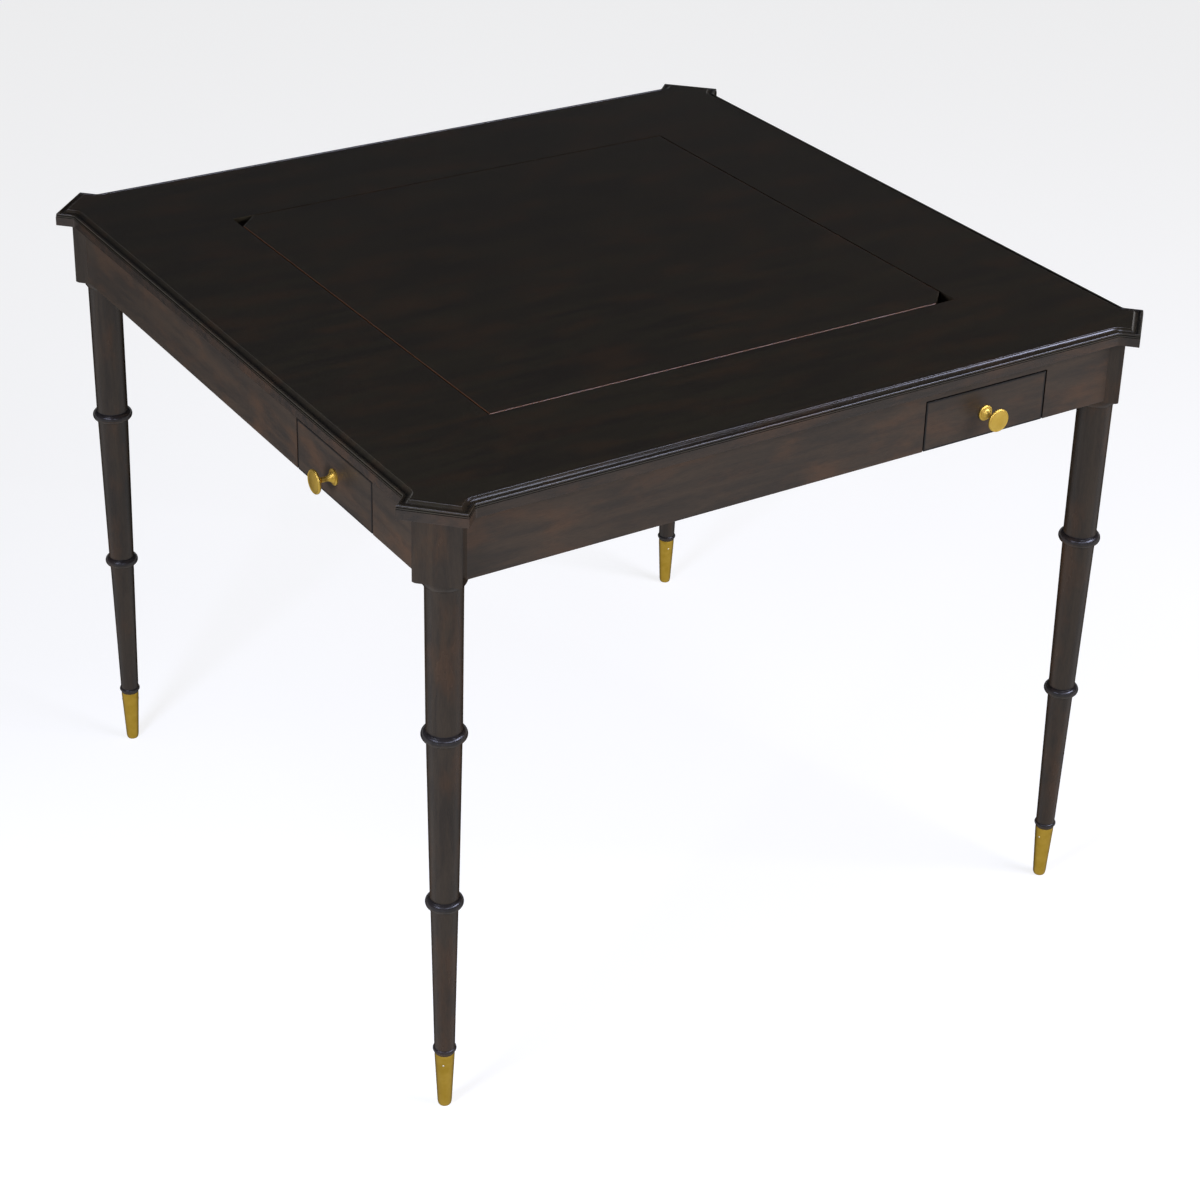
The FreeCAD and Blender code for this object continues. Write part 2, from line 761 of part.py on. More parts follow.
def leg_outline():
    """Half outline of a leg, radius against height, from its end in the ferrule upward."""
    corner = block_half * ROOT_TWO
    ferrule_foot = s.ferrule_foot_radius - s.ferrule_wall
    ferrule_mouth = s.ferrule_top_radius - s.ferrule_wall
    foot_bead_top = s.foot_bead_height + s.foot_bead_thick / 2
    lower_bead_top = s.lower_bead_height + s.lower_bead_thick / 2
    upper_bead_top = s.upper_bead_height + s.upper_bead_thick / 2
    lower_ring = s.lower_bead_height - s.lower_bead_thick / 2 - s.bead_ring_thick
    upper_ring = s.upper_bead_height - s.upper_bead_thick / 2 - s.bead_ring_thick
    lower_ring_radius = s.ankle_top_radius + s.bead_ring_reach
    upper_ring_radius = s.middle_top_radius + s.bead_ring_reach
    shoulder = s.block_foot - s.shoulder_height
    past_corner = corner + s.shoulder_line
    return [
        (ZERO, s.ferrule_sole),
        (ferrule_foot, s.ferrule_sole),
        (ferrule_mouth, s.ferrule_height),
        (s.foot_neck_radius, s.ferrule_height),
        bead(s.foot_bead_height, s.foot_bead_thick, s.foot_neck_radius, s.foot_bead_bow),
        (s.ankle_foot_radius, foot_bead_top),
        (s.ankle_top_radius, lower_ring),
        (lower_ring_radius, lower_ring),
        bead(s.lower_bead_height, s.lower_bead_thick, lower_ring_radius, s.lower_bead_bow),
        (s.middle_foot_radius, lower_bead_top),
        (s.middle_top_radius, upper_ring),
        (upper_ring_radius, upper_ring),
        bead(s.upper_bead_height, s.upper_bead_thick, upper_ring_radius, s.upper_bead_bow),
        (s.shaft_foot_radius, upper_bead_top),
        (s.shaft_top_radius, shoulder),
        (s.shaft_top_radius + s.shoulder_line, shoulder, s.shoulder_bow),
        (s.shoulder_radius, s.block_foot),
        (corner - s.block_foot_round, s.block_foot, s.block_foot_round / 4),
        (past_corner, s.block_foot + s.block_foot_round),
        (past_corner, top_under),
        (ZERO, top_under),
    ]


def ferrule_outline():
    """Half section of a ferrule, a thin tapered cup with a rounded sole."""
    foot = s.ferrule_foot_radius
    mouth = s.ferrule_top_radius
    return [
        (ZERO, ZERO),
        (s.ferrule_sole_radius, ZERO, s.ferrule_sole_bow),
        (foot, s.ferrule_bend_height),
        (mouth, s.ferrule_height),
        (mouth - s.ferrule_wall, s.ferrule_height),
        (foot - s.ferrule_wall, s.ferrule_sole),
        (ZERO, s.ferrule_sole),
    ]


def dome_bow(radius, rise):
    """Bow of the half outline of a dome, which makes its arc's centre lie on the axis."""
    chord_squared = radius * radius + rise * rise
    ball = chord_squared / (rise * 2)
    return ball - (ball * ball - chord_squared / 4).root()


def turned_body(name, corners):
    """A body turned about its own upright axis from a half outline."""
    body = new_body(name)
    half = sketch_on(body, "XZ_Plane", name + "_outline")
    outline(half, corners)
    revolve(body, half, name + "_turned")
    return body


def ferrule_radius(height):
    """Outer radius of the ferrule at a height on its taper."""
    rise = (height - s.ferrule_bend_height) / (s.ferrule_height - s.ferrule_bend_height)
    return s.ferrule_foot_radius + (s.ferrule_top_radius - s.ferrule_foot_radius) * rise


def pin_bores(name, corner):
    """Bores for the two pins of a ferrule, outside and inside on the diagonal."""
    surface = ferrule_radius(s.pin_height)
    return [
        corner_rod(name + "_out", s.pin_radius, s.pin_depth + s.overrun,
                   surface + s.overrun, s.pin_height, corner),
        corner_rod(name + "_in", s.pin_radius, s.pin_depth + s.overrun,
                   s.pin_depth - surface, s.pin_height, corner),
    ]


def square_plan():
    """Plan of a leg's square with its four upright edges eased."""
    flat = block_half - s.block_edge
    bow = s.block_edge * (1 - math.cos(EIGHTH))
    return [
        (-flat, -block_half),
        (flat, -block_half, bow),
        (block_half, -flat),
        (block_half, flat, bow),
        (flat, block_half),
        (-flat, block_half, bow),
        (-block_half, flat),
        (-block_half, -flat, bow),
    ]


def leg(corner, name):
    """Turned leg under a square block, with its ferrule."""
    foot = corner_spot(ZERO, ZERO, ZERO, corner)
    angle = corner_angle(corner)
    lathe = place(turned_body("leg_%s_lathe" % name, leg_outline()), foot, angle)
    square = new_body("leg_%s_square" % name)
    plan = sketch_on(square, "XY_Plane", "leg_%s_plan" % name)
    outline(plan, square_plan())
    pad(square, plan, "leg_%s_pad" % name, top_under)
    place(square, foot, angle)
    squared = doc.addObject("Part::Common", "leg_%s_squared" % name)
    squared.Base = lathe
    squared.Tool = square
    bolt_bore = corner_rod("leg_%s_bolt_bore" % name, s.bolt_radius,
                           s.bolt_leg_depth + s.overrun, s.bolt_leg_depth - block_half,
                           top_under - s.bolt_drop, corner)
    whole = cut("leg_%s_bored" % name, squared, bolt_bore,
                *pin_bores("leg_%s_pin_bore" % name, corner))
    piece(whole, "leg_" + name)
    cup = place(turned_body("ferrule_%s_cup" % name, ferrule_outline()), foot, angle)
    piece(cut("ferrule_%s_bored" % name, cup, *pin_bores("ferrule_%s_pin_bore" % name, corner)),
          "ferrule_" + name)


def ferrule_pins():
    """Two small pins in each ferrule, their heads just clear of its taper."""
    surface = ferrule_radius(s.pin_height)
    members = []
    for corner, name in enumerate(CORNERS):
        for hand, flip in (("out", 0), ("in", 180)):
            body = turned_body("pin_%s_%s" % (name, hand), [
                (ZERO, -s.pin_depth),
                (s.pin_radius, -s.pin_depth),
                (s.pin_radius, s.pin_head_stand),
                (s.pin_head_radius, s.pin_head_stand),
                (s.pin_head_flat, s.pin_head_reach),
                (ZERO, s.pin_head_reach),
            ])
            reach = surface if hand == "out" else -surface
            spot = corner_spot(reach, ZERO, s.pin_height, corner)
            members.append(place(body, spot, corner_angle(corner) + 90 + flip, 90))
    piece(group("pins", members), "ferrule_pins")


# corner blocks and their fasteners


def corner_block(corner, name):
    """Block across a corner, on the leg's inner face and the backs of both aprons."""
    inset = (apron_back - leg_offset) * ROOT_TWO
    near = block_half + inset
    far = near + s.corner_thick
    body = new_body("corner_%s_body" % name)
    plan = sketch_on(body, "XY_Plane", "corner_%s_plan" % name)
    outline(plan, [(-block_half - s.corner_thick, -far), (-block_half, -near),
                   (-block_half, near), (-block_half - s.corner_thick, far)])
    pad(body, plan, "corner_%s_pad" % name, s.corner_height)
    foot = top_under - s.corner_height
    place(body, corner_spot(ZERO, ZERO, foot, corner), corner_angle(corner))
    bolt_bore = corner_rod("corner_%s_bolt_bore" % name, s.bolt_radius,
                           s.corner_thick + s.overrun * 2, s.overrun - block_half,
                           top_under - s.bolt_drop, corner)
    screws = [top_screw("corner_%s_screw_bore_%s" % (name, hand), corner, across)
              for hand, across in (("a", s.screw_spread), ("b", -s.screw_spread))]
    piece(cut("corner_%s_bored" % name, body, bolt_bore, *screws), "corner_block_" + name)


def corner_fasteners():
    """Hanger bolts with their washers and nuts, and the screws up into the top."""
    bolts = []
    nuts = []
    screws = []
    back = -block_half - s.corner_thick
    height = top_under - s.bolt_drop
    length = (s.bolt_leg_depth + s.corner_thick + s.washer_thick + s.nut_thick + s.bolt_end)
    for corner, name in enumerate(CORNERS):
        bolts.append(corner_rod("bolt_" + name, s.bolt_radius, length,
                                s.bolt_leg_depth - block_half, height, corner))
        disc = corner_rod("washer_%s_disc" % name, s.washer_radius, s.washer_thick, back, height,
                          corner)
        hexagon = doc.addObject("Part::Prism", "nut_%s_blank" % name)
        hexagon.Polygon = 6
        bind(hexagon, Circumradius=s.nut_radius, Height=s.nut_thick)
        place(hexagon, corner_spot(back - s.washer_thick, ZERO, height, corner),
              corner_angle(corner) - 90, 90)
        for kind, blank in (("washer", disc), ("nut", hexagon)):
            bore = corner_rod("%s_%s_bore" % (kind, name), s.bolt_radius,
                              s.washer_thick + s.nut_thick + s.overrun * 2, back + s.overrun,
                              height, corner)
            nuts.append(cut("%s_%s" % (kind, name), blank, bore))
        for hand, across in (("a", s.screw_spread), ("b", -s.screw_spread)):
            screws.append(top_screw("top_screw_%s_%s" % (name, hand), corner, across))
    piece(group("bolts", bolts), "hanger_bolts")
    piece(group("nuts", nuts), "hanger_nuts")
    piece(group("screws", screws), "top_screws")


def check():
    """Stops if a feature failed or a piece has no sound shape."""
    for thing in doc.Objects:
        if {"Invalid", "Error"} & set(thing.State):
            raise RuntimeError("%s failed: %s" % (thing.Name, thing.State))
    for thing in pieces:
        if thing.Shape.isNull() or not thing.Shape.isValid() or not thing.Shape.Solids:
            raise RuntimeError("%s has no sound solid" % thing.Label)


top_boards()
lift_out_panel()
games_well()
for quarter, side in enumerate(SIDES):
    apron(quarter, side)
    drawer_runners(quarter, side)
    drawer(quarter, side)
for corner, name in enumerate(CORNERS):
    leg(corner, name)
    corner_block(corner, name)
ferrule_pins()
corner_fasteners()

doc.recompute()
check()
os.makedirs("parts", exist_ok=True)
for thing in pieces:
    thing.Shape.exportStep(os.path.join("parts", thing.Label + ".step"))
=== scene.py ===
import math

import bmesh
import bpy
from mathutils import Matrix, Vector


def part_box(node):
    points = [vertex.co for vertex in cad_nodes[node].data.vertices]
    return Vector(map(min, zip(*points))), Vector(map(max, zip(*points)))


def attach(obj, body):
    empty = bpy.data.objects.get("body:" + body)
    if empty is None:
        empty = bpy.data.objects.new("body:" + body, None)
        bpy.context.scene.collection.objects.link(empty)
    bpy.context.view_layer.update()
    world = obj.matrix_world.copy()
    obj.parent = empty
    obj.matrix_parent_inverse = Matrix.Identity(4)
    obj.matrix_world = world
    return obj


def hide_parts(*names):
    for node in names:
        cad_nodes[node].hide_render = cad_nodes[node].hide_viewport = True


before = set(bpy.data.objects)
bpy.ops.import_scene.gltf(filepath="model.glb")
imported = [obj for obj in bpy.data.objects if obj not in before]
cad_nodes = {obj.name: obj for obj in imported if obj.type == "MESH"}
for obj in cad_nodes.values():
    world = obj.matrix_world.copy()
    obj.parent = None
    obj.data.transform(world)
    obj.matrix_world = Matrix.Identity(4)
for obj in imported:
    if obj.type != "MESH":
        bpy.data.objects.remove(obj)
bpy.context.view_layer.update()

# Camera
# A long lens looks down on the near left corner of the table, as the photograph does. The
# frame is square, and a small shift keeps the legs from leaning in too much.
FRAME_PIXELS = 1200
FOCAL_PIXELS = 2694.2
SHIFT_PIXELS = -150
SENSOR_MM = 36
CAMERA_PLACE = (-1.5606, -2.4567, 1.9786)
CAMERA_HEADING, CAMERA_PITCH, CAMERA_ROLL = -29.333, 63.207, -3.190
FARTHEST_SEEN = 200
camera_data = bpy.data.cameras.new("camera")
camera_data.sensor_width = SENSOR_MM
camera_data.lens = FOCAL_PIXELS * SENSOR_MM / FRAME_PIXELS
camera_data.shift_y = SHIFT_PIXELS / FRAME_PIXELS
camera_data.clip_end = FARTHEST_SEEN
camera = bpy.data.objects.new("camera", camera_data)
bpy.context.scene.collection.objects.link(camera)
camera.matrix_world = (
    Matrix.Translation(CAMERA_PLACE)
    @ Matrix.Rotation(math.radians(CAMERA_HEADING), 4, "Z")
    @ Matrix.Rotation(math.radians(CAMERA_PITCH), 4, "X")
    @ Matrix.Rotation(math.radians(CAMERA_ROLL), 4, "Y")
)
bpy.context.scene.camera = camera

# Studio
# A white paper floor runs out to a pale horizon, under a dim ceiling. Gloss sees no floor, but
# a glow below the horizon that is strong to the front and dies in the back left corner.
HORIZON_PALE, CEILING_DIM = "f4f4f4", "2e3035"
HORIZON_FADE = 0.06, 0.22
GLOW_LIT, GLOW_DARK = "ccd0d6", "0c0c0e"
GLOW_FRONT = (-0.49, -0.87, 0)
GLOW_FADE = -0.62, -0.05
GLOW_TOP = -0.04
PAPER_GREY, PAPER_WHITE, PAPER_STRENGTH = "8f8f8f", "ffffff", 0.8
FLOOR_REACH, FLOOR_DROP = 60, 0.0002


def add_node(tree, kind, sockets=None, **settings):
    """Adds a shader node. Sockets take a value or another node's output, by name or number."""
    made = tree.nodes.new("ShaderNode" + kind)
    for name, value in settings.items():
        setattr(made, name, value)
    for name, value in (sockets or {}).items():
        if isinstance(value, bpy.types.NodeSocket):
            tree.links.new(value, made.inputs[name])
        else:
            made.inputs[name].default_value = value
    return made


def colour(code):
    """The linear colour of an sRGB hex code such as "8a6b3f"."""
    parts = [int(code[i:i + 2], 16) / 255 for i in (0, 2, 4)]
    return [p / 12.92 if p <= 0.04045 else ((p + 0.055) / 1.055) ** 2.4 for p in parts] + [1]


bpy.context.scene.view_settings.view_transform = "Standard"
world = bpy.data.worlds.new("studio")
bpy.context.scene.world = world
world.use_nodes = True
sky = world.node_tree
sky.nodes.clear()
direction = add_node(sky, "TexCoord").outputs["Generated"]
height = add_node(sky, "SeparateXYZ", {0: direction}).outputs["Z"]
rise = add_node(sky, "MapRange", {"Value": height, "From Min": HORIZON_FADE[0],
                                  "From Max": HORIZON_FADE[1]}, interpolation_type="SMOOTHSTEP")
above = add_node(sky, "Mix", {0: rise.outputs[0], 6: colour(HORIZON_PALE),
                              7: colour(CEILING_DIM)}, data_type="RGBA")
frontward = add_node(sky, "VectorMath", {0: direction, 1: GLOW_FRONT}, operation="DOT_PRODUCT")
lit_part = add_node(sky, "MapRange", {"Value": frontward.outputs["Value"],
                                      "From Min": GLOW_FADE[0], "From Max": GLOW_FADE[1]})
below = add_node(sky, "Mix", {0: lit_part.outputs[0], 6: colour(GLOW_DARK),
                              7: colour(GLOW_LIT)}, data_type="RGBA")
is_below = add_node(sky, "Math", {0: height, 1: GLOW_TOP}, operation="LESS_THAN")
around = add_node(sky, "Mix", {0: is_below.outputs[0], 6: above.outputs[2],
                               7: below.outputs[2]}, data_type="RGBA")
background = add_node(sky, "Background", {"Color": around.outputs[2], "Strength": 1.0})
add_node(sky, "OutputWorld", {"Surface": background.outputs[0]})

paper = bpy.data.materials.new("white_studio_paper")
paper.use_nodes = True
paper_shader = paper.node_tree.nodes["Principled BSDF"]
paper_shader.inputs["Base Color"].default_value = colour(PAPER_GREY)
paper_shader.inputs["Roughness"].default_value = 0.9
paper_shader.inputs["Specular IOR Level"].default_value = 0.1
paper_shader.inputs["Emission Color"].default_value = colour(PAPER_WHITE)
paper_shader.inputs["Emission Strength"].default_value = PAPER_STRENGTH
floor_mesh = bpy.data.meshes.new("floor")
floor_form = bmesh.new()
bmesh.ops.create_grid(floor_form, x_segments=1, y_segments=1, size=FLOOR_REACH)
bmesh.ops.translate(floor_form, verts=floor_form.verts, vec=(0, 0, -FLOOR_DROP))
floor_form.to_mesh(floor_mesh)
floor_form.free()
floor_mesh.materials.append(paper)
floor = bpy.data.objects.new("floor", floor_mesh)
bpy.context.scene.collection.objects.link(floor)
floor.visible_glossy = False

# Lamps
# Soft boxes to the right and left light the matt wood, and strips higher up draw the lines
# along the mouldings and beads. Two small skylights do both. Each has its place, what it is
# aimed at, its size in metres, its watts, its tint and what it serves.
LAMPS = (
    ("soft_box_right", (1.95, -2.6, 1.95), (0, -0.2, 0.6), (1.9, 0.8), 124, "ececff", "matt"),
    ("soft_box_left", (-1.95, -0.85, 1.1), (-0.4, -0.5, 0.5), (0.6, 0.6), 52, "d4deff", "matt"),
    ("strip_right", (1.7, -2.0, 2.6), (0, -0.3, 0.6), (2.4, 0.7), 110, "d8deff", "gloss"),
    ("strip_front", (-0.5, -2.7, 2.3), (-0.1, -0.3, 0.6), (2.0, 0.5), 30, "d8deff", "gloss"),
    ("strip_left", (-2.4, -0.9, 2.4), (-0.4, -0.3, 0.5), (1.7, 0.5), 36, "d8deff", "gloss"),
    ("skylight_right", (0.8, -0.55, 3.0), (0, -0.2, 0.6), (0.9, 0.3), 8, "dfe5ff", "both"),
    ("skylight_left", (-1.1, 0.35, 3.0), (-0.3, -0.2, 0.6), (0.9, 0.3), 6, "dfe5ff", "both"),
)
for name, place, aim, size, watts, tint, serves in LAMPS:
    lamp = bpy.data.lights.new(name, "AREA")
    lamp.shape = "RECTANGLE"
    lamp.size, lamp.size_y = size
    lamp.energy = watts
    lamp.color = colour(tint)[:3]
    box = bpy.data.objects.new(name, lamp)
    bpy.context.scene.collection.objects.link(box)
    box.location = place
    box.rotation_euler = (Vector(aim) - Vector(place)).to_track_quat("-Z", "Y").to_euler()
    box.visible_diffuse = serves != "gloss"
    box.visible_glossy = serves != "matt"

# Top boards
# Four mahogany boards are mitred round the panel, stained almost black and lacquered. Their
# edge is moulded, with an ear over each leg. The plain fascia under the moulding took less
# stain and is nearly as brown as the aprons.
SIDES = ("front", "right", "back", "left")
TOP_TONES = colour("241f18"), colour("2b261b"), colour("34271a")
FASCIA_TONES = colour("231d17"), colour("2f251c"), colour("3c2a1c")
MOULDING_BAND = 0.75464, 0.7622
TOP_GLOSS = 0.2, 0.21, 0.42
RIBBON_MM, CLOUD_MM, PORE_MM = (110, 12), (90, 35), (9, 0.9)
PORE_DEPTH = 0.0002
# How far the ambient occlusion reaches that paints shade into quirks, corners and gaps.
PAINTED_SHADE_REACH = 0.004
GRAIN_TURNS = {"x": (0, 0, 0), "y": (0, 0, math.pi / 2), "z": (0, math.pi / 2, 0)}


def stained_mahogany(name, grain, shift, tones, gloss, band_tones=None, bands=()):
    """Stained mahogany under lacquer, with its grain along an axis: a faint ribbon stripe,
    reddish clouds, short pores, and painted shade in the quirks, corners and gaps, where
    ambient occlusion darkens the colour. The pores are drawn wider than real ones, so that they
    show. The tones are dark, middle and red. The gloss is the least and most roughness and the
    specular level. Bands are pairs of heights between which the band tones take over: the
    moulding's darker stain on the top boards, painted shade on the upper side of the beads."""
    finish = bpy.data.materials.new(name)
    finish.use_nodes = True
    tree = finish.node_tree
    shader = tree.nodes["Principled BSDF"]
    spot = add_node(tree, "TexCoord").outputs["Object"]
    # Between each pair of heights the band tones take over: the moulding's darker stain on the
    # top boards, painted shade on the beads of the legs.
    for low, high in bands:
        where = add_node(tree, "SeparateXYZ", {0: spot})
        inside = add_node(tree, "Math", {0: where.outputs["Z"], 1: (low + high) / 2,
                                         2: (high - low) / 2}, operation="COMPARE")
        tones = [add_node(tree, "Mix", {0: inside.outputs[0], 6: plain, 7: banded},
                          data_type="RGBA").outputs[2]
                 for plain, banded in zip(tones, band_tones)]
    dark, middle, red = tones
    lengthways = add_node(tree, "Mapping", {"Vector": spot, "Location": shift,
                                            "Rotation": GRAIN_TURNS[grain]}).outputs[0]

    def figure(size_mm, **settings):
        """A noise stretched along the grain, with its figure's length and width."""
        length, width = size_mm
        stretched = add_node(tree, "Mapping", {
            "Vector": lengthways, "Scale": (1000 / length, 1000 / width, 1000 / width)})
        return add_node(tree, "TexNoise", {"Vector": stretched.outputs[0], "Scale": 1,
                                           **settings}).outputs["Fac"]

    ribbon = figure(RIBBON_MM, Detail=3, Roughness=0.6, Distortion=0.5)
    cloud = figure(CLOUD_MM, Detail=4, Roughness=0.6)
    pore = figure(PORE_MM, Detail=2, Roughness=0.6)
    stripe = add_node(tree, "MapRange", {"Value": ribbon, "From Min": 0.3, "From Max": 0.7},
                      interpolation_type="SMOOTHSTEP")
    body = add_node(tree, "Mix", {0: stripe.outputs[0], 6: dark, 7: middle}, data_type="RGBA")
    glow = add_node(tree, "MapRange", {"Value": cloud, "From Min": 0.46, "From Max": 0.72,
                                       "To Max": 0.75}, interpolation_type="SMOOTHSTEP")
    warm = add_node(tree, "Mix", {0: glow.outputs[0], 6: body.outputs[2], 7: red},
                    data_type="RGBA")
    speck = add_node(tree, "MapRange", {"Value": pore, "From Min": 0.3, "From Max": 0.6,
                                        "To Min": 0.82, "To Max": 1.06})
    flecked = add_node(tree, "Mix", {0: 1.0, 6: warm.outputs[2], 7: speck.outputs[0]},
                       data_type="RGBA", blend_type="MULTIPLY")
    # Painted shade: ambient occlusion darkens quirks, corners and gaps to as little as a tenth.
    occlusion = add_node(tree, "AmbientOcclusion", {"Distance": PAINTED_SHADE_REACH}, samples=6)
    painted_shade = add_node(tree, "MapRange", {"Value": occlusion.outputs["AO"], "From Min": 0.15,
                                        "From Max": 0.75, "To Min": 0.1})
    whole = add_node(tree, "Mix", {0: 1.0, 6: flecked.outputs[2], 7: painted_shade.outputs[0]},
                     data_type="RGBA", blend_type="MULTIPLY")
    tree.links.new(whole.outputs[2], shader.inputs["Base Color"])
    smoothest, roughest, specular = gloss
    sheen = add_node(tree, "MapRange", {"Value": cloud, "From Min": 0.3, "From Max": 0.7,
                                        "To Min": smoothest, "To Max": roughest})
    tree.links.new(sheen.outputs[0], shader.inputs["Roughness"])
    relief = add_node(tree, "Bump", {"Height": pore, "Strength": 0.12, "Distance": PORE_DEPTH})
    tree.links.new(relief.outputs[0], shader.inputs["Normal"])
    shader.inputs["Specular IOR Level"].default_value = specular
    return finish


for index, side in enumerate(SIDES):
    cad_nodes["top_board_" + side].material_slots[0].material = stained_mahogany(
        "top_board_" + side + "_mahogany", "x", (0.37 * index, 0.26 * index, 0), FASCIA_TONES,
        TOP_GLOSS, TOP_TONES, [MOULDING_BAND])

# Lift-out panel
# One flat mahogany panel lies flush in the top, with two corners cut off as finger holes.
# Its arris is eased by hand, and the stain is rubbed thin there. Its lighter, redder rim is
# also a painted highlight along the seam.
PANEL_ARRIS = 0.0008
RUBBED_STAIN_AND_HIGHLIGHT = colour("5c3c28")
SHARP_DEGREES = 30


def ease_arrises(node, width):
    """Rounds the sharp edges of a flat piece by hand-sanding's small radius."""
    joined = cad_nodes[node].modifiers.new("joined_edges", "WELD")
    joined.merge_threshold = 0.00001
    eased = cad_nodes[node].modifiers.new("eased_arris", "BEVEL")
    eased.width = width
    eased.segments = 2
    eased.limit_method = "ANGLE"
    eased.angle_limit = math.radians(SHARP_DEGREES)
    eased.harden_normals = True


def tint_rim(wood, node, width, tint):
    """Tints a flat piece's outline: a lighter rim on the panel, rubbed stain and a painted
    highlight, and a dark rim on the drawer fronts, painted shade along the gap.
    """
    tree = wood.node_tree
    shader = tree.nodes["Principled BSDF"]
    place = add_node(tree, "SeparateXYZ", {0: add_node(tree, "TexCoord").outputs["Object"]})
    low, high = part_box(node)
    thinnest = min(range(3), key=lambda axis: high[axis] - low[axis])
    near = None
    for axis in {0, 1, 2} - {thinnest}:
        half = (high[axis] - low[axis]) / 2
        off = add_node(tree, "Math", {0: place.outputs[axis], 1: (high[axis] + low[axis]) / 2},
                       operation="SUBTRACT")
        away = add_node(tree, "Math", {0: off.outputs[0]}, operation="ABSOLUTE")
        edge = add_node(tree, "MapRange", {"Value": away.outputs[0],
                                           "From Min": half - width * 1.5,
                                           "From Max": half - width * 0.7}).outputs[0]
        near = edge if near is None else add_node(tree, "Math", {0: near, 1: edge},
                                                  operation="MAXIMUM").outputs[0]
    plain = shader.inputs["Base Color"].links[0].from_socket
    whole = add_node(tree, "Mix", {0: near, 6: plain, 7: tint}, data_type="RGBA")
    tree.links.new(whole.outputs[2], shader.inputs["Base Color"])


panel_wood = stained_mahogany("lift_out_panel_mahogany", "x", (1.9, 1.3, 0), TOP_TONES, TOP_GLOSS)
# A lighter reddish rim on the panel: rubbed stain and a painted highlight along the seam.
tint_rim(panel_wood, "lift_out_panel", PANEL_ARRIS, RUBBED_STAIN_AND_HIGHLIGHT)
cad_nodes["lift_out_panel"].material_slots[0].material = panel_wood
ease_arrises("lift_out_panel", PANEL_ARRIS)

# Games well
# A shallow well under the panel, with ledges that carry it. Ledges, walls and floor are
# mahogany in the same dark stain as the top.
for name in ("panel_ledges", "well_floor", "well_wall_front", "well_wall_back"):
    cad_nodes[name].material_slots[0].material = stained_mahogany(
        name + "_mahogany", "x", (0.2, 0.9, 0), TOP_TONES, TOP_GLOSS)
for name in ("well_wall_left", "well_wall_right"):
    cad_nodes[name].material_slots[0].material = stained_mahogany(
        name + "_mahogany", "y", (0.3, 0.2, 0), TOP_TONES, TOP_GLOSS)

# Aprons and drawer fronts
# Solid mahogany rails, a browner stain and duller than the top. Each has one small drawer
# front in its right-hand end, its rim painted dark as painted shade along the gap. The grain
# runs along.
RAIL_TONES = colour("29221b"), colour("362b20"), colour("45301f")
RAIL_GLOSS = 0.34, 0.4, 0.34
DRAWER_ARRIS = 0.0006
DRAWER_RIM = DRAWER_ARRIS * 2.8
# The drawer fronts' rims are painted near black, a painted shade for the gap round them.
PAINTED_GAP_SHADE = colour("0f0c0a")
APRON_SHIFT, DRAWER_SHIFT = 0.11, 0.53
for quarter, side in enumerate(SIDES):
    along = "xy"[quarter % 2]
    for node, shift in (("apron_" + side, APRON_SHIFT), ("drawer_front_" + side, DRAWER_SHIFT)):
        rail_wood = stained_mahogany(node + "_mahogany", along,
                                     (shift + quarter, 0.3 * quarter, 0.2), RAIL_TONES,
                                     RAIL_GLOSS)
        cad_nodes[node].material_slots[0].material = rail_wood
        if node.startswith("drawer_front_"):
            # Painted shade round the drawer front's rim.
            tint_rim(rail_wood, node, DRAWER_RIM, PAINTED_GAP_SHADE)
            ease_arrises(node, DRAWER_ARRIS)

# Drawer boxes and runners
# Pale hardwood left unfinished inside, planed and sanded. The boxes are glued up round a thin
# bottom, and the runners and kickers are strips screwed behind the aprons.
BARE_TONES = colour("9a7a55"), colour("c8a97d")
LINE_MM = (150, 4)


def bare_hardwood(name, grain):
    """Pale hardwood with a fine straight grain and no finish, so it looks dry and matt."""
    finish = bpy.data.materials.new(name)
    finish.use_nodes = True
    tree = finish.node_tree
    shader = tree.nodes["Principled BSDF"]
    spot = add_node(tree, "TexCoord").outputs["Object"]
    lengthways = add_node(tree, "Mapping", {"Vector": spot,
                                            "Rotation": GRAIN_TURNS[grain]}).outputs[0]
    length, width = LINE_MM
    stretched = add_node(tree, "Mapping", {
        "Vector": lengthways, "Scale": (1000 / length, 1000 / width, 1000 / width)})
    line = add_node(tree, "TexNoise", {"Vector": stretched.outputs[0], "Scale": 1,
                                       "Detail": 3, "Roughness": 0.6})
    body = add_node(tree, "Mix", {0: line.outputs["Fac"], 6: BARE_TONES[0], 7: BARE_TONES[1]},
                    data_type="RGBA")
    tree.links.new(body.outputs[2], shader.inputs["Base Color"])
    relief = add_node(tree, "Bump", {"Height": line.outputs["Fac"], "Strength": 0.2,
                                     "Distance": 0.0003})
    tree.links.new(relief.outputs[0], shader.inputs["Normal"])
    shader.inputs["Roughness"].default_value = 0.65
    shader.inputs["Specular IOR Level"].default_value = 0.3
    return finish


bare_across, bare_along = bare_hardwood("bare_wood_x", "x"), bare_hardwood("bare_wood_y", "y")
for quarter, side in enumerate(SIDES):
    lengthways, crossways = ((bare_across, bare_along), (bare_along, bare_across))[quarter % 2]
    for name in ("drawer_back_", "drawer_bottom_"):
        cad_nodes[name + side].material_slots[0].material = lengthways
    for name in ("drawer_side_left_", "drawer_side_right_", "drawer_runners_"):
        cad_nodes[name + side].material_slots[0].material = crossways

# Knobs
# Solid brass, turned in one with the post, which goes through the drawer front to a nut. The
# finish is satin under lacquer: a soft even gold with little reflection. The knob brass is
# painted lighter than the same brass on the ferrules, painted light for what the knob faces
# would catch.
# Painted light: the knob brass is a lighter copy of the ferrule brass.
KNOB_PAINTED_LIGHT_TONES = colour("e6bd52"), colour("eec860")
AGE_MM, GRIT_MM = 11, 0.8


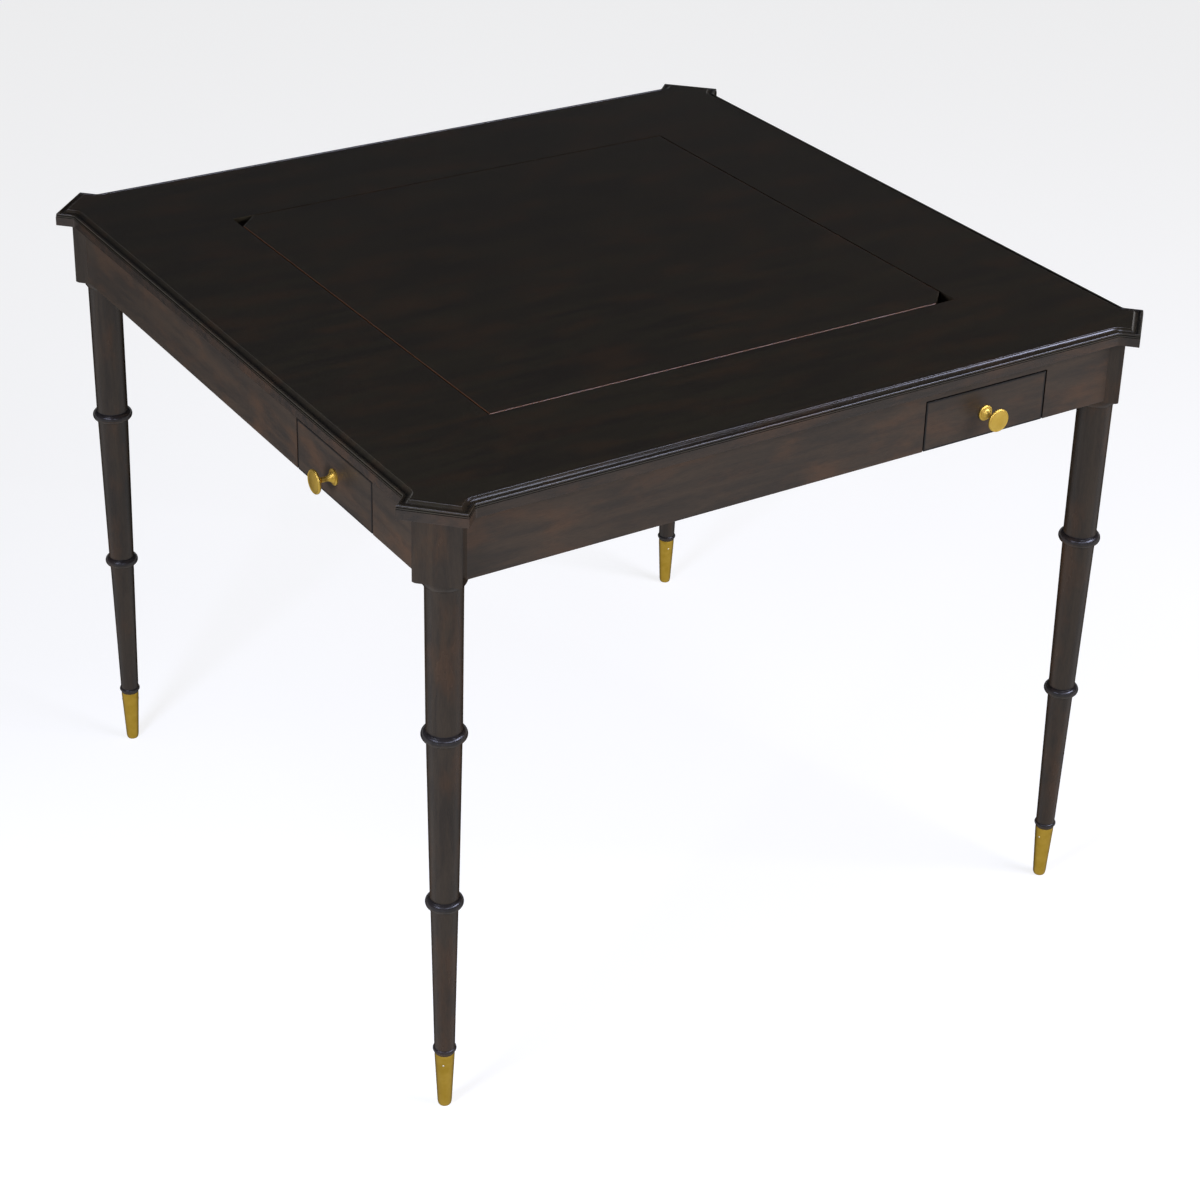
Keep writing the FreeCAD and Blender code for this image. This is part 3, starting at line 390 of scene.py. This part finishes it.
def satin_brass(name, dull, bright):
    """Lacquered brass with a soft brushed finish, a little duller in places."""
    finish = bpy.data.materials.new(name)
    finish.use_nodes = True
    tree = finish.node_tree
    shader = tree.nodes["Principled BSDF"]
    spot = add_node(tree, "TexCoord").outputs["Object"]
    age = add_node(tree, "TexNoise", {"Vector": spot, "Scale": 1000 / AGE_MM, "Detail": 3,
                                      "Roughness": 0.6})
    grit = add_node(tree, "TexNoise", {"Vector": spot, "Scale": 1000 / GRIT_MM, "Detail": 2})
    old = add_node(tree, "MapRange", {"Value": age.outputs["Fac"], "From Min": 0.35,
                                      "From Max": 0.65})
    body = add_node(tree, "Mix", {0: old.outputs[0], 6: dull, 7: bright}, data_type="RGBA")
    tree.links.new(body.outputs[2], shader.inputs["Base Color"])
    relief = add_node(tree, "Bump", {"Height": grit.outputs["Fac"], "Strength": 0.06,
                                     "Distance": 0.0002})
    tree.links.new(relief.outputs[0], shader.inputs["Normal"])
    shader.inputs["Metallic"].default_value = 1.0
    shader.inputs["Roughness"].default_value = 0.48
    return finish


knob_brass = satin_brass("satin_brass_knob", *KNOB_PAINTED_LIGHT_TONES)
for side in SIDES:
    cad_nodes["knob_" + side].material_slots[0].material = knob_brass

# Legs
# Each leg is turned from one square of mahogany with its block left square at the top. The
# stain is a shade darker than on the rails. The upper side of each bead is painted darker and
# cooler, a painted shade.
CORNERS = ("front_left", "front_right", "back_right", "back_left")
LEG_TONES = colour("221b14"), colour("2d241a"), colour("3a2717")
LEG_GLOSS = 0.24, 0.28, 0.34
# Painted shade: the upper side of each bead is darker and cooler between these heights.
BEAD_SHADE_TONES = colour("1e1b19"), colour("272321"), colour("302621")
BEAD_SHADE_BANDS = (0.0763, 0.0800), (0.2712, 0.2780), (0.4802, 0.4875)
for index, corner in enumerate(CORNERS):
    cad_nodes["leg_" + corner].material_slots[0].material = stained_mahogany(
        "leg_" + corner + "_mahogany", "z", (0.4 * index, 0.17 * index, 0.3),
        LEG_TONES, LEG_GLOSS, BEAD_SHADE_TONES, BEAD_SHADE_BANDS)

# Ferrules
# A drawn brass cup on each foot, tapered, with a rounded sole. It runs up to the foot bead
# and hides the joint, and two small domed tacks hold it. The tacks are nickel plated, so
# they catch the light as pale dots. Outlines are in millimetres.
LEG_AXIS = 0.426
SLEEVE_OUTLINE = ((0.0, 0.0), (5.4, 0.0), (6.4, 0.4), (7.1, 1.4), (7.55, 3.0), (7.9, 5.5),
                  (10.95, 66.5), (11.0, 71.7), (10.8, 72.0), (10.0, 72.0), (9.8, 71.6),
                  (6.7, 2.0), (0.0, 2.0))
SLEEVE_STEPS = 48
TACK_OUTLINE = ((0.0, 0.6), (0.5, 0.52), (0.9, 0.3), (1.15, 0.0), (1.15, -0.8), (0.0, -0.8))
TACK_STEPS = 16
TACK_HEIGHT = 0.0595
TACK_REACH = 0.01062
CREASE_DEGREES = 40
FERRULE_TONES = colour("c49e38"), colour("d0aa45")
NICKEL = colour("f4ecd2")
FEET = {"front_left": (-1, -1, -127), "front_right": (1, -1, -162),
        "back_right": (1, 1, -106), "back_left": (-1, 1, -25)}


def turned(form, outline, steps):
    """Spins a half outline in millimetres round the upright axis of a mesh form."""
    spots = [form.verts.new((radius / 1000, 0, level / 1000)) for radius, level in outline]
    profile = [form.edges.new(pair) for pair in zip(spots, spots[1:])]
    bmesh.ops.spin(form, geom=spots + profile, axis=(0, 0, 1), cent=(0, 0, 0), steps=steps,
                   angle=2 * math.pi, use_merge=True)
    bmesh.ops.remove_doubles(form, verts=form.verts, dist=0.00001)
    bmesh.ops.recalc_face_normals(form, faces=form.faces)


def smooth_but_creases(form):
    """Shades a form smooth, with its creased edges kept sharp."""
    for face in form.faces:
        face.smooth = True
    for edge in form.edges:
        edge.smooth = edge.calc_face_angle(0) < math.radians(CREASE_DEGREES)


def add_piece(name, form, finish):
    """Makes a finished form an object in the scene."""
    mesh = bpy.data.meshes.new(name)
    form.to_mesh(mesh)
    form.free()
    mesh.materials.append(finish)
    piece = bpy.data.objects.new(name, mesh)
    bpy.context.scene.collection.objects.link(piece)
    return piece


ferrule_brass = satin_brass("satin_brass_ferrule", *FERRULE_TONES)
tack_metal = bpy.data.materials.new("nickel_plated_tack")
tack_metal.use_nodes = True
tack_shader = tack_metal.node_tree.nodes["Principled BSDF"]
tack_shader.inputs["Base Color"].default_value = NICKEL
tack_shader.inputs["Metallic"].default_value = 1.0
tack_shader.inputs["Roughness"].default_value = 0.3
tacks_form = bmesh.new()
for corner, (east, north, tack_turn) in FEET.items():
    foot = Vector((east * LEG_AXIS, north * LEG_AXIS, 0))
    sleeve_form = bmesh.new()
    turned(sleeve_form, SLEEVE_OUTLINE, SLEEVE_STEPS)
    bmesh.ops.translate(sleeve_form, verts=sleeve_form.verts, vec=foot)
    smooth_but_creases(sleeve_form)
    sleeve = add_piece("ferrule_sleeve_" + corner, sleeve_form, ferrule_brass)
    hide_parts("ferrule_" + corner)
    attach(sleeve, "table")
    for facing in (tack_turn, tack_turn + 180):
        tack_form = bmesh.new()
        turned(tack_form, TACK_OUTLINE, TACK_STEPS)
        way = Vector((math.cos(math.radians(facing)), math.sin(math.radians(facing)), 0))
        spot = foot + way * TACK_REACH + Vector((0, 0, TACK_HEIGHT))
        tack_form.transform(Matrix.Translation(spot)
                            @ way.to_track_quat("Z", "Y").to_matrix().to_4x4())
        smooth_but_creases(tack_form)
        one_tack = bpy.data.meshes.new("one_tack")
        tack_form.to_mesh(one_tack)
        tack_form.free()
        tacks_form.from_mesh(one_tack)
        bpy.data.meshes.remove(one_tack)
tacks = add_piece("ferrule_tacks", tacks_form, tack_metal)
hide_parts("ferrule_pins")
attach(tacks, "table")

# Corner blocks and fastenings
# A bare hardwood block lies across each corner inside the aprons. Zinc-plated hanger bolts
# with washers and nuts draw the legs to the blocks, and screws go up into the top.
ZINC = colour("b9bbbd")
for corner in CORNERS:
    cad_nodes["corner_block_" + corner].material_slots[0].material = bare_hardwood(
        "corner_block_" + corner + "_wood", "z")
steel = bpy.data.materials.new("zinc_plated_steel")
steel.use_nodes = True
steel_shader = steel.node_tree.nodes["Principled BSDF"]
steel_shader.inputs["Base Color"].default_value = ZINC
steel_shader.inputs["Metallic"].default_value = 1.0
steel_shader.inputs["Roughness"].default_value = 0.4
for name in ("hanger_bolts", "hanger_nuts", "top_screws"):
    cad_nodes[name].material_slots[0].material = steel
